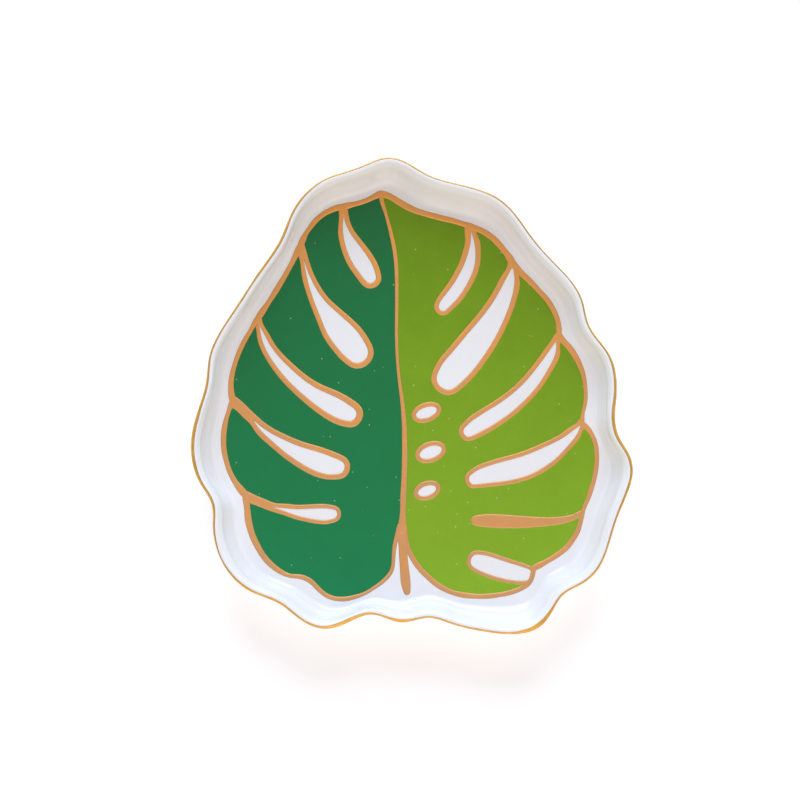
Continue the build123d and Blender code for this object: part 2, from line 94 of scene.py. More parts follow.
# Outside of the wall from the lip down to the underside, as shares of its reach and height
OUTSIDE_SHARES = (
    (0.12, 0.740), (0.25, 0.520), (0.40, 0.330), (0.56, 0.190), (0.74, 0.080), (0.88, 0.020),
    (1.00, 0.000),
)

# Rounding of the lip from its inner to its outer side: how far across and how far down, as
# shares of lip_width
LIP_ROUND_SHARES = (
    (1.00, 0.36), (0.90, 0.15), (0.72, 0.03), (0.50, 0.00), (0.28, 0.03), (0.10, 0.15),
    (0.00, 0.36),
)

# Where the brush left more or less gold on the lip: place as shares of the dish's width and
# length, how much wider the line is there, as a share of its width, and how far that reaches,
# as a share of the dish's length
BRUSH_SHARES = (
    (0.283, -0.484, 2.10, 0.038), (-0.150, -0.480, 1.40, 0.035), (-0.025, -0.472, 1.20, 0.025),
    (-0.430, -0.340, -0.45, 0.030), (-0.490, -0.100, 1.10, 0.110), (0.470, -0.080, 0.80, 0.110),
    (-0.300, 0.330, 0.60, 0.090), (0.050, 0.465, -0.20, 0.150), (0.330, 0.270, -0.20, 0.080),
    (0.100, -0.500, -0.30, 0.250),
)


class Slot(Enum):
    """Material slots of the part's record."""

    PORCELAIN = "porcelain"
    GLAZE = "white_glaze"
    LIP_GOLD = "rim_gold"
    LINE_GOLD = "print_gold"
    DARK_GREEN = "dark_green_enamel"
    LIGHT_GREEN = "light_green_enamel"


def linear(hex_colour: str) -> tuple[float, float, float, float]:
    """Turn an sRGB hex colour into linear light.

    Args:
        hex_colour: six hex digits after a number sign.

    Returns:
        Linear red, green and blue, and an alpha of 1.
    """
    shades = [int(hex_colour[i:i + 2], 16) / 255 for i in (1, 3, 5)]
    light = [s / 12.92 if s <= 0.04045 else ((s + 0.055) / 1.055) ** 2.4 for s in shades]
    return (light[0], light[1], light[2], 1.0)


def add_node(
    tree: NodeTree, kind: str, inputs: dict[Any, Any] | None = None, **settings: Any
) -> Node:
    """Add one node with its settings, values and links.

    Args:
        tree: node tree that takes the node.
        kind: type name of the node.
        inputs: for each input, by its name or number, a value, an output socket, or a node that
            gives its first output.
        settings: the node's own attributes.

    Returns:
        The new node.
    """
    node = tree.nodes.new(kind)
    for name, value in settings.items():
        setattr(node, name, value)
    for key, value in (inputs or {}).items():
        if isinstance(value, Node):
            value = value.outputs[0]
        if isinstance(value, NodeSocket):
            tree.links.new(value, node.inputs[key])
        else:
            node.inputs[key].default_value = value
    return node


def new_material(name: str) -> tuple[Material, Callable[..., Node]]:
    """Make a material with an empty node tree.

    Args:
        name: what the surface is and how it was made.

    Returns:
        The material, and what adds a node to it.
    """
    material = bpy.data.materials.new(name)
    material.use_nodes = True
    material.node_tree.nodes.clear()
    return material, partial(add_node, material.node_tree)


def mesh_object(name: str, points: np.ndarray, faces: list, closed: bool = True) -> Object:
    """Make a smooth-shaded object at the origin from points and faces.

    Args:
        name: name of the piece.
        points: one row of x, y, z in millimetres for each point.
        faces: corner numbers of each face.
        closed: whether it is a closed surface, whose faces are then turned outwards.

    Returns:
        The linked object.
    """
    mesh = bpy.data.meshes.new(name)
    mesh.from_pydata((points * MM).tolist(), [], faces)
    if closed:
        work = bmesh.new()
        work.from_mesh(mesh)
        if work.calc_volume(signed=True) < 0:
            bmesh.ops.reverse_faces(work, faces=work.faces)
        work.to_mesh(mesh)
        work.free()
    mesh.shade_smooth()
    piece = bpy.data.objects.new(name, mesh)
    bpy.context.scene.collection.objects.link(piece)
    return piece


def declare(piece: Object, node: str) -> None:
    """Hang a piece on the root body and hide the construction model's node that it replaces.

    Args:
        piece: finished piece at the origin.
        node: node of the construction model that it replaces.
    """
    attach(piece, "root")
    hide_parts(node)
    LOG.info("%s: %d faces", piece.name, len(piece.data.polygons))


def right_of(along: np.ndarray) -> np.ndarray:
    """Unit directions to the right of some directions, as x and y."""
    along = along / np.maximum(np.linalg.norm(along, axis=1), TINY)[:, None]
    return np.stack((along[:, 1], -along[:, 0]), axis=1)


def beside(outline: np.ndarray) -> np.ndarray:
    """Unit directions to the right of a closed outline, at each of its points."""
    return right_of(np.roll(outline, -1, axis=0) - np.roll(outline, 1, axis=0))


def on_curve(
    share: float, start: np.ndarray, end: np.ndarray, leave: np.ndarray, arrive: np.ndarray,
    span: Any,
) -> np.ndarray:
    """Find a place on the smooth cubic curve from one point to the next.

    Args:
        share: how far along it lies, from 0 to 1.
        start: where the curve starts.
        end: where it ends.
        leave: its direction at the start.
        arrive: its direction at the end.
        span: how long it is, in the unit of the directions.

    Returns:
        The place.
    """
    square, cube = share ** 2, share ** 3
    return (
        (2 * cube - 3 * square + 1) * start + (3 * square - 2 * cube) * end
        + (cube - 2 * square + share) * span * leave + (cube - square) * span * arrive
    )


@dataclass
class DishForm:
    """Shape that the clay, the glaze and the gold of the lip share, in millimetres."""

    length: float = 127.7
    width: float = 117.3
    height: float = 15.0
    floor_top: float = 4.3
    foot_height: float = 1.0
    floor_run: float = 10.0
    base_run: float = 7.0
    lip_width: float = 1.5
    foot_run: float = 13.8
    foot_width: float = 2.8
    gold_coat: float = 0.16
    plain_reach: int = 3  # points on each side that the plainer outline is the mean of
    cove_rise: float = 0.9  # how far the floor lifts where it meets the wall
    cove_run: float = 15.0  # how far in the floor starts to lift
    cove_power: float = 2.2  # above 1 the floor lifts most at its edge
    floor_crowding: float = 0.75  # below 1 the floor's rings lie closer near its edge
    rows_each: int = 3  # rows of the mesh between two stations of the section
    calming: int = 4  # how many times each row of the section is drawn towards its neighbours
    lip: np.ndarray = field(init=False)
    plain: np.ndarray = field(init=False)
    reach: np.ndarray = field(init=False)
    knots: np.ndarray = field(init=False)

    def __post_init__(self) -> None:
        """Work out the lip's outline, its plainer copy and the way round it."""
        table = np.array(LIP_SHARES)
        self.lip = table[:, :2] * (self.width, self.length)
        self.reach = table[:, 2]
        steps = range(-self.plain_reach, self.plain_reach + 1)
        self.plain = sum(np.roll(self.lip, -j, axis=0) for j in steps) / len(steps)
        sides = np.linalg.norm(np.roll(self.lip, -1, axis=0) - self.lip, axis=1)
        self.knots = np.concatenate(([0.0], np.cumsum(sides)))

    def weights(self, columns: int) -> np.ndarray:
        """Work out the smooth closed cubic spline through the outline's points.

        Args:
            columns: how many places of the curve are wanted, evenly spaced.

        Returns:
            One row of weights of the outline's points for each place.
        """
        spans = np.diff(self.knots)[:, None]
        before = np.roll(spans, 1, axis=0)
        here = np.eye(len(self.lip))
        back, ahead = np.roll(here, -1, axis=1), np.roll(here, 1, axis=1)
        bend = (before * back + 2 * (before + spans) * here + spans * ahead) / 6
        slope = (back - here) / before + (ahead - here) / spans
        curve = np.linalg.solve(bend, slope)
        places = np.arange(columns) * self.knots[-1] / columns
        i = np.searchsorted(self.knots, places, side="right") - 1
        right = (places - self.knots[i])[:, None] / spans[i]
        left = 1 - right
        lift = (left ** 3 - left) * curve[i] + (right ** 3 - right) * (ahead @ curve)[i]
        return left * here[i] + right * ahead[i] + lift * (spans[i] ** 2 / 6)

    def section(self, coat: float = 0.0) -> np.ndarray:
        """Section of the wall at each point of the outline, from the floor's edge over the lip.

        Args:
            coat: how far under the glazed surface the section runs.

        Returns:
            Inset and height, by row of the section and by point of the outline.
        """
        gold, lip, foot = self.gold_coat, self.lip_width, self.foot_height
        top = self.height - gold
        low = self.floor_top + self.cove_rise
        inner = self.reach * self.floor_run - (gold + lip)
        outer = self.reach * self.base_run - gold
        rows = [
            (gold + lip + run * inner, low + rise * (top - low)) for run, rise in INSIDE_SHARES
        ]
        rows += [(gold + across * lip, top - down * lip) for across, down in LIP_ROUND_SHARES]
        rows += [(gold + run * outer, foot + rise * (top - foot)) for run, rise in OUTSIDE_SHARES]
        smooth = self.smooth_rows(np.array([
            np.stack(np.broadcast_arrays(inset, height, self.reach)[:2], axis=1)
            for inset, height in rows
        ]))
        if coat:
            along = np.gradient(smooth, axis=0)
            along /= np.linalg.norm(along, axis=2)[:, :, None]
            under = np.stack((-along[:, :, 1], along[:, :, 0]), axis=2)
            under[0], under[-1] = (0, -1), (0, 1)
            smooth = smooth + coat * under
        return smooth

    def smooth_rows(self, stations: np.ndarray) -> np.ndarray:
        """Put rows between the stations of a section on a smooth curve through them.

        Args:
            stations: inset and height, by station and by point of the outline.

        Returns:
            The same with rows_each rows from each station to the next.
        """
        chords = np.linalg.norm(np.diff(stations.mean(axis=1), axis=0), axis=1)
        spans = chords[:, None, None] ** 0.5  # in roots of lengths the curve doesn't overshoot
        rises = np.diff(stations, axis=0) / spans
        between = (rises[:-1] * spans[1:] + rises[1:] * spans[:-1]) / (spans[1:] + spans[:-1])
        slopes = np.concatenate((rises[:1], between, rises[-1:]))
        rows = [
            on_curve(share, stations[i], stations[i + 1], slopes[i], slopes[i + 1], spans[i])
            for i in range(len(spans)) for share in np.arange(self.rows_each) / self.rows_each
        ]
        calm = np.array([*rows, stations[-1]])
        for _ in range(self.calming):
            calm[1:-1] = (calm[:-2] + 2 * calm[1:-1] + calm[2:]) / 4
        return calm

    def wall(self, columns: int, coat: float = 0.0) -> np.ndarray:
        """Points of the wall from the floor's edge over the lip to the underside.

        Args:
            columns: places round the dish.
            coat: how far under the glazed surface they lie.

        Returns:
            x, y, z by row and column.
        """
        curve = self.weights(columns)
        near_lip, deep = beside(self.lip), beside(self.plain)
        rings = []
        for row in self.section(coat):
            inset, height = row[:, 0], row[:, 1]
            calm = np.clip(inset / (self.reach * self.floor_run), 0, 1)[:, None]
            plan = self.lip + (near_lip * (1 - calm) + deep * calm) * inset[:, None]
            rings.append(curve @ np.column_stack((plan, height)))
        return np.array(rings)

    def floor(self, edge: np.ndarray, rings: int, coat: float = 0.0) -> list[np.ndarray]:
        """Rings of the floor from near its middle out to its edge.

        Args:
            edge: the wall's lowest ring inside.
            rings: how many rings.
            coat: how far under the glazed surface they lie.

        Returns:
            The rings, without the edge itself.
        """
        far = np.linalg.norm(edge[:, :2], axis=1)
        made = []
        for share in (np.arange(1, rings) / rings) ** self.floor_crowding:
            lift = np.clip(1 - (1 - share) * far / self.cove_run, 0, 1) ** self.cove_power
            height = self.floor_top - coat + self.cove_rise * lift
            made.append(np.column_stack((edge[:, :2] * share, height)))
        return made

    def foot_ring(self, columns: int, inset: float, height: float) -> np.ndarray:
        """Ring of the foot or of the underside beside it.

        Args:
            columns: places round the dish.
            inset: how far in from the dish's own box.
            height: above the table.

        Returns:
            x, y, z by column.
        """
        size = np.array((self.width, self.length))
        plan = self.weights(columns) @ (self.plain * ((size - 2 * inset) / size))
        return np.column_stack((plan, np.full(columns, height)))


def skin(rings: list[np.ndarray], first: float, last: float) -> tuple[np.ndarray, list]:
    """Join rings into one closed surface with a pole at each end.

    Args:
        rings: x, y, z by column, in order along the surface.
        first: height of the pole before the first ring.
        last: height of the pole after the last ring.

    Returns:
        The points and the faces.
    """
    columns = len(rings[0])
    points = np.concatenate([[(0.0, 0.0, first)], *rings, [(0.0, 0.0, last)]])
    end = len(points) - 1
    after = end - columns
    faces: list = []
    for j in range(columns):
        k = (j + 1) % columns
        faces += [(0, 1 + j, 1 + k), (end, after + k, after + j)]
        for low in range(1, after, columns):
            high = low + columns
            faces.append((low + j, high + j, high + k, low + k))
    return points, faces


@dataclass
class GlazedBody:
    """The clay dish with its foot, and the glaze over it, in millimetres."""

    form: DishForm
    columns: int = 480
    clay_columns: int = 240
    glaze_coat: float = 0.3
    floor_rings: int = 26  # a half and a third as many where the glaze hides them
    base_rings: int = 5
    foot_round: float = 0.45
    foot_steps: int = 5

    def base(self, edge: np.ndarray, height: float) -> list[np.ndarray]:
        """Rings of the underside from the wall in to the foot.

        Args:
            edge: the wall's lowest ring outside.
            height: where the last ring lies, above the table.

        Returns:
            The rings, without the edge itself.
        """
        foot = self.form.foot_ring(len(edge), self.form.foot_run, height)
        shares = np.arange(1, self.base_rings + 1) / self.base_rings
        return [edge + (foot - edge) * share for share in shares]

    def glaze(self) -> Object:
        """Build the coat of glaze: over the whole dish, and over the underside inside the foot.

        Returns:
            The finished piece.
        """
        form, coat = self.form, self.glaze_coat
        low, high = form.foot_height, form.foot_height + coat
        over = form.wall(self.columns)
        under = form.wall(self.columns, coat)[::form.rows_each]
        rings = [
            *form.floor(over[0], self.floor_rings), *over, *self.base(over[-1], low),
            *self.base(under[-1], high)[::-1], *under[::-1],
            *form.floor(under[0], self.floor_rings // 3, coat)[::-1],
        ]
        points, faces = skin(rings, form.floor_top, form.floor_top - coat)
        inset = form.foot_run + form.foot_width
        disc = [form.foot_ring(self.columns, inset, height) for height in (low, high)]
        more, lens = skin(disc, low, high)
        faces += [tuple(corner + len(points) for corner in reversed(face)) for face in lens]
        return mesh_object("white_glaze_coat", np.concatenate((points, more)), faces)

    def clay(self) -> Object:
        """Build the fired clay under the glaze, with the bare ring that it stands on.

        Returns:
            The finished piece.
        """
        form, coat, soft = self.form, self.glaze_coat, self.foot_round
        wall = form.wall(self.clay_columns, coat)[::form.rows_each]
        low = form.foot_height + coat
        out, into = form.foot_run, form.foot_run + form.foot_width
        turns = np.radians(np.linspace(0, 90, self.foot_steps))
        foot = [(out + soft * (1 - math.cos(a)), soft * (1 - math.sin(a))) for a in turns]
        foot += [(into - soft * (1 - math.sin(a)), soft * (1 - math.cos(a))) for a in turns]
        foot.append((into, low))
        rings = [
            *form.floor(wall[0], self.floor_rings // 2, coat), *wall, *self.base(wall[-1], low),
            *(form.foot_ring(self.clay_columns, inset, height) for inset, height in foot),
        ]
        return mesh_object("porcelain_clay", *skin(rings, form.floor_top - coat, low))


@dataclass(frozen=True)
class CoatSizes:
    """Sizes of one thin coat, in millimetres, and whether it is laid down from above."""

    coat: float
    rounding: float
    side: float = 0.03
    drape: bool = True


@dataclass
class CoatLayer:
    """Lays thin closed coats on the glaze, with one Geometry Nodes tree."""

    glaze: Object
    tree: NodeTree = field(init=False)

    def __post_init__(self) -> None:
        """Make the tree, which seats a sheet on the glaze, domes its top and closes it."""
        self.tree = bpy.data.node_groups.new("coat_on_glaze", "GeometryNodeTree")
        sockets = {
            "Geometry": "Geometry", "Surface": "Object", "Material": "Material", "Coat": "Float",
            "Rounding": "Float", "Side": "Float", "Drape": "Bool",
        }
        for name, kind in sockets.items():
            self.tree.interface.new_socket(name, in_out="INPUT", socket_type=f"NodeSocket{kind}")
        self.tree.interface.new_socket(
            "Geometry", in_out="OUTPUT", socket_type="NodeSocketGeometry")
        add = partial(add_node, self.tree)
        given = add("NodeGroupInput").outputs

        # The sheet comes down onto the glaze and sinks in a little
        surface = add("GeometryNodeObjectInfo", {"Object": given["Surface"]})
        place = add("ShaderNodeSeparateXYZ", {0: add("GeometryNodeInputPosition")})
        above = add("ShaderNodeCombineXYZ", {
            "X": place.outputs["X"], "Y": place.outputs["Y"], "Z": DROP_MM * MM})
        cast = add("GeometryNodeRaycast", {
            "Target Geometry": surface.outputs["Geometry"], "Source Position": above,
            "Ray Direction": (0, 0, -1), "Ray Length": 2 * DROP_MM * MM})
        hit = add(
            "FunctionNodeBooleanMath", {0: given["Drape"], 1: cast.outputs["Is Hit"]},
            operation="AND")
        laid = add("GeometryNodeSetPosition", {
            "Geometry": given["Geometry"], "Selection": hit,
            "Position": cast.outputs["Hit Position"]})
        upright = add(
            "GeometryNodeStoreNamedAttribute",
            {"Geometry": laid, "Name": "upright", "Value": add("GeometryNodeInputNormal")},
            data_type="FLOAT_VECTOR", domain="POINT")
        lie = add("GeometryNodeInputNamedAttribute", {"Name": "upright"}, data_type="FLOAT_VECTOR")
        sink = add("ShaderNodeVectorMath", {0: lie, "Scale": -SEAT_MM * MM}, operation="SCALE")
        seated = add("GeometryNodeSetPosition", {"Geometry": upright, "Offset": sink})

        # Its top rises from the edge to the full coat on a quarter circle
        raised = add(
            "GeometryNodeExtrudeMesh",
            {"Mesh": seated, "Offset": lie, "Offset Scale": SEAT_MM * MM, "Individual": False},
            mode="FACES")
        way = add("GeometryNodeInputNamedAttribute", {"Name": "edge_way"}, data_type="FLOAT")
        near = add(
            "ShaderNodeMath", {0: way, 1: given["Rounding"]}, operation="DIVIDE", use_clamp=True)
        left = add("ShaderNodeMath", {0: 1.0, 1: near}, operation="SUBTRACT")
        square = add("ShaderNodeMath", {0: left, 1: left}, operation="MULTIPLY")
        rest = add("ShaderNodeMath", {0: 1.0, 1: square}, operation="SUBTRACT")
        arch = add("ShaderNodeMath", {0: rest, 1: 0.5}, operation="POWER")
        swell = add("ShaderNodeMath", {0: given["Coat"], 1: given["Side"]}, operation="SUBTRACT")
        height = add(
            "ShaderNodeMath", {0: arch, 1: swell, 2: given["Side"]}, operation="MULTIPLY_ADD")
        lift = add("ShaderNodeVectorMath", {0: lie, "Scale": height}, operation="SCALE")
        domed = add("GeometryNodeSetPosition", {
            "Geometry": raised, "Selection": raised.outputs["Top"], "Offset": lift})
        sides = add("GeometryNodeSetShadeSmooth", {
            "Geometry": domed, "Selection": raised.outputs["Side"], "Shade Smooth": False})

        # The sheet turned over closes it underneath
        under = add("GeometryNodeFlipFaces", {"Mesh": seated})
        both = add("GeometryNodeJoinGeometry")
        for half in (under, sides):
            self.tree.links.new(half.outputs[0], both.inputs[0])
        closed = add("GeometryNodeMergeByDistance", {"Geometry": both, "Distance": WELD_MM * MM})
        real = add("GeometryNodeRealizeInstances", {"Geometry": closed})
        dressed = add("GeometryNodeSetMaterial", {"Geometry": real, "Material": given["Material"]})
        add("NodeGroupOutput", {"Geometry": dressed})

    def lay(
        self, name: str, points: np.ndarray, faces: list, way: np.ndarray,
        material: Material, sizes: CoatSizes,
    ) -> Object:
        """Turn a sheet into a coat with a plain mesh.

        Args:
            name: name of the piece.
            points: x, y, z of the sheet, or x and y of one that is laid down from above.
            faces: its faces.
            way: how far each point is from the coat's free edge.
            material: its material.
            sizes: sizes of the coat.

        Returns:
            The finished piece.
        """
        if points.shape[1] == 2:
            points = np.column_stack((points, np.zeros(len(points))))
        piece = mesh_object(name, points, faces, closed=False)
        ways = piece.data.attributes.new("edge_way", "FLOAT", "POINT")
        ways.data.foreach_set("value", way * MM)
        modifier = piece.modifiers.new("coat", "NODES")
        modifier.node_group = self.tree
        values = {
            "Surface": self.glaze, "Material": material, "Coat": sizes.coat * MM,
            "Rounding": sizes.rounding * MM, "Side": sizes.side * MM, "Drape": sizes.drape,
        }
        for socket in self.tree.interface.items_tree:
            if socket.in_out == "INPUT" and socket.name in values:
                modifier[socket.identifier] = values[socket.name]
        seen = piece.evaluated_get(bpy.context.evaluated_depsgraph_get())
        made = bpy.data.meshes.new_from_object(seen)
        piece.modifiers.clear()
        piece.data = made
        made.name = name
        return piece


@dataclass
class LipGold:
    """Gold lustre brushed along the lip, in millimetres."""

    form: DishForm
    columns: int = 960
    rows: int = 13
    line: float = 0.42  # how far the gold reaches in over the lip, seen from above
    down: float = 1.1  # how far it reaches down the outside
    wobble: float = 0.10  # how uneven the line is, as a share of its width
    waves: tuple[int, ...] = (3, 5, 8, 13, 21, 34, 55, 89)  # of the unevenness round the lip
    wave_fall: float = 0.35  # how fast shorter waves get weaker
    least: float = 0.12
    most: float = 1.9
    seed: int = 11
    rounding: float = 0.30
    fill: float = 0.95  # how much of the room for the gold it fills

    def widths(self, plan: np.ndarray) -> np.ndarray:
        """Width of the brushed line at each place round the lip.

        Args:
            plan: x and y of the lip by column.

        Returns:
            Widths by column.
        """
        random = np.random.default_rng(self.seed)
        turn = np.arange(len(plan)) / len(plan) * math.tau
        uneven = np.zeros(len(plan))
        for waves in self.waves:
            strength = random.normal()
            phase = random.uniform(0, math.tau)
            uneven += strength * np.sin(waves * turn + phase) / waves ** self.wave_fall
        width = self.line * (1 + self.wobble * uneven)
        for x, y, more, reach in BRUSH_SHARES:
            place = np.array((x * self.form.width, y * self.form.length))
            near = np.linalg.norm(plan - place, axis=1)
            steps = (near - near.min()) / (reach * self.form.length)
            width *= 1 + more * np.exp(-(steps ** 2))
        return np.clip(width, self.least, self.most)

    def sheet(self) -> tuple[np.ndarray, list, np.ndarray]:
        """Strip of the lip's surface that the gold covers.

        Returns:
            Points, faces, and how far each point is from the strip's edges.
        """
        wall = self.form.wall(self.columns)
        crest = wall[:, :, 2].argmax(axis=0)[0]
        width = self.widths(wall[crest, :, :2])
        points = np.empty((self.rows, self.columns, 3))
        way = np.empty((self.rows, self.columns))
        top = self.form.height - self.form.gold_coat
        outer_side = top - self.form.lip_width * LIP_ROUND_SHARES[-1][1]
        for j in range(self.columns):
            line = wall[:, j]
            steps = np.linalg.norm(np.diff(line, axis=0), axis=1)
            far = np.concatenate(([0.0], np.cumsum(steps)))
            outermost = crest + np.argmax(line[crest:, 2] < outer_side)
            across = np.linalg.norm(line[:, :2] - line[outermost, :2], axis=1)
            start = np.interp(width[j], across[outermost::-1], far[outermost::-1])
            end = far[crest + np.argmax(line[crest:, 2] < top - self.down)]
            places = start + (end - start) * np.linspace(0, 1, self.rows)
            for axis in range(3):
                points[:, j, axis] = np.interp(places, far, line[:, axis])
            way[:, j] = np.minimum(places - start, end - places)
        faces = []
        for low in range(0, (self.rows - 1) * self.columns, self.columns):
            high = low + self.columns
            for j in range(self.columns):
                k = (j + 1) % self.columns
                faces.append((low + j, low + k, high + k, high + j))
        return points.reshape(-1, 3), faces, way.reshape(-1)

    def build(self, coats: CoatLayer, gold: Material) -> Object:
        """Build the band of gold on the lip.

        Args:
            coats: what lays it on the glaze.
            gold: its material.

        Returns:
            The finished piece.
        """
        sizes = CoatSizes(self.form.gold_coat * self.fill, self.rounding, drape=False)
        return coats.lay("lip_gold", *self.sheet(), gold, sizes)


@dataclass
class PrintPlan:
    """Plan of one printed field or line, read from its node, in millimetres."""

    node: str
    step: float
    corner: float = math.radians(38)  # a sharper turn than this stays a corner
    least_side: float = 0.02
    loops: list = field(init=False)

    def __post_init__(self) -> None:
        """Read the loops and put points on smooth curves through them."""
        self.loops = [self.smooth(loop) for loop in self.read_loops()]

    def read_loops(self) -> list[np.ndarray]:
        """Closed outlines of the node's top face, with the print on their left.

        Returns:
            x and y of each loop's corners.
        """
        work = bmesh.new()
        work.from_mesh(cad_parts[self.node].data)
        bmesh.ops.remove_doubles(work, verts=work.verts, dist=SAME_PLACE)
        top = max(vert.co.z for vert in work.verts)
        edges: dict = {}
        for flat in work.faces:
            if all(vert.co.z > top - LEVEL for vert in flat.verts):
                corners = [vert.index for vert in flat.verts]
                for a, b in zip(corners, corners[1:] + corners[:1]):
                    if not edges.pop((b, a), False):
                        edges[(a, b)] = True
        after: dict = {}
        for a, b in edges:
            after.setdefault(a, []).append(b)
        work.verts.ensure_lookup_table()
        loops = []
        while after:
            start = next(iter(after))
            chain = [start]
            here = after[start].pop()
            while here != start:
                chain.append(here)
                here = after[here].pop()
            after = {a: ends for a, ends in after.items() if ends}
            loops.append(np.array([work.verts[i].co.xy for i in chain]) / MM)
        work.free()
        return loops

    def smooth(self, loop: np.ndarray) -> np.ndarray:
        """Put evenly spaced points on a smooth curve through a loop, with its corners kept.

        Args:
            loop: x and y of its corners.

        Returns:
            x and y of the new points.
        """
        sides = np.roll(loop, -1, axis=0) - loop
        loop = loop[np.linalg.norm(sides, axis=1) > self.least_side]
        ahead = np.roll(loop, -1, axis=0) - loop
        spans = np.linalg.norm(ahead, axis=1)
        ahead /= spans[:, None]
        behind = np.roll(ahead, 1, axis=0)
        before = np.roll(spans, 1)
        cross = behind[:, 0] * ahead[:, 1] - behind[:, 1] * ahead[:, 0]
        turn = np.abs(np.arctan2(cross, (behind * ahead).sum(axis=1)))
        tangent = (behind * spans[:, None] + ahead * before[:, None]) / (spans + before)[:, None]
        sharp = (turn > self.corner)[:, None]
        leave, arrive = np.where(sharp, ahead, tangent), np.where(sharp, behind, tangent)
        points = []
        for i in range(len(loop)):
            k = (i + 1) % len(loop)
            pieces = max(1, math.ceil(spans[i] / self.step))
            points += [
                on_curve(share, loop[i], loop[k], leave[i], arrive[k], spans[i])
                for share in np.arange(pieces) / pieces
            ]
        return np.array(points)

    def sides(self) -> tuple[np.ndarray, np.ndarray]:
        """Starts and ends of all sides of the loops."""
        ends = [np.roll(loop, -1, axis=0) for loop in self.loops]
        return np.concatenate(self.loops), np.concatenate(ends)

    def holds(self, points: np.ndarray) -> np.ndarray:
        """Find out which points lie in the print, by how many sides lie to their right.

        Args:
            points: x and y.

        Returns:
            Whether each point does.
        """
        starts, ends = self.sides()
        inside = np.zeros(len(points), bool)
        for low in range(0, len(points), BATCH):
            x, y = points[low:low + BATCH].T[:, :, None]
            spans = (starts[:, 1] > y) != (ends[:, 1] > y)
            rise = np.where(ends[:, 1] == starts[:, 1], 1.0, ends[:, 1] - starts[:, 1])
            at = starts[:, 0] + (y - starts[:, 1]) / rise * (ends[:, 0] - starts[:, 0])
            inside[low:low + BATCH] = ((spans & (x < at)).sum(axis=1) % 2) == 1
        return inside

    def way_to_edge(self, points: np.ndarray) -> np.ndarray:
        """Distance from each point to the nearest side of the loops."""
        return way_to(points, *self.sides())


def way_to(points: np.ndarray, starts: np.ndarray, ends: np.ndarray) -> np.ndarray:
    """Distance from each point to the nearest of some sides.

    Args:
        points: x and y.
        starts: x and y where each side starts.
        ends: x and y where it ends.

    Returns:
        Distances by point.
    """
    along = ends - starts
    squares = np.maximum((along ** 2).sum(axis=1), TINY ** 2)
    nearest = np.empty(len(points))
    for low in range(0, len(points), BATCH):
        off = points[low:low + BATCH, None] - starts
        share = np.clip((off * along).sum(axis=2) / squares, 0, 1)
        gap = off - share[:, :, None] * along
        nearest[low:low + BATCH] = np.sqrt((gap ** 2).sum(axis=2)).min(axis=1)
    return nearest


def triangulate(plan: PrintPlan, inner: np.ndarray) -> tuple[np.ndarray, list]:
    """Triangles of a plan that use its outlines and some points inside it.

    Args:
        plan: the outlines.
        inner: x and y of the points inside.

    Returns:
        x and y of the points, and the faces, all facing up.
    """
    points: list = []
    edges: list = []
    for loop in plan.loops:
        low, count = len(points), len(loop)
        points += loop.tolist()
        edges += [(low + i, low + (i + 1) % count) for i in range(count)]
    points += inner.tolist()
    flat = [Vector(point) for point in points]
    made = delaunay_2d_cdt(flat, edges, [], 0, SAME_SPOT_MM)
    spots = np.array([tuple(spot) for spot in made[0]])
    corners = np.array([face for face in made[2] if len(face) == 3])
    a, b, c = (spots[corners[:, i]] for i in range(3))
    area = (b[:, 0] - a[:, 0]) * (c[:, 1] - a[:, 1]) - (b[:, 1] - a[:, 1]) * (c[:, 0] - a[:, 0])
    keep = plan.holds(spots[corners].mean(axis=1)) & (np.abs(area) > SLIVER)
    corners, area = corners[keep], area[keep]
    corners[area < 0] = corners[area < 0][:, ::-1]
    used, faces = np.unique(corners, return_inverse=True)
    return spots[used], [tuple(face) for face in faces.reshape(-1, 3).tolist()]


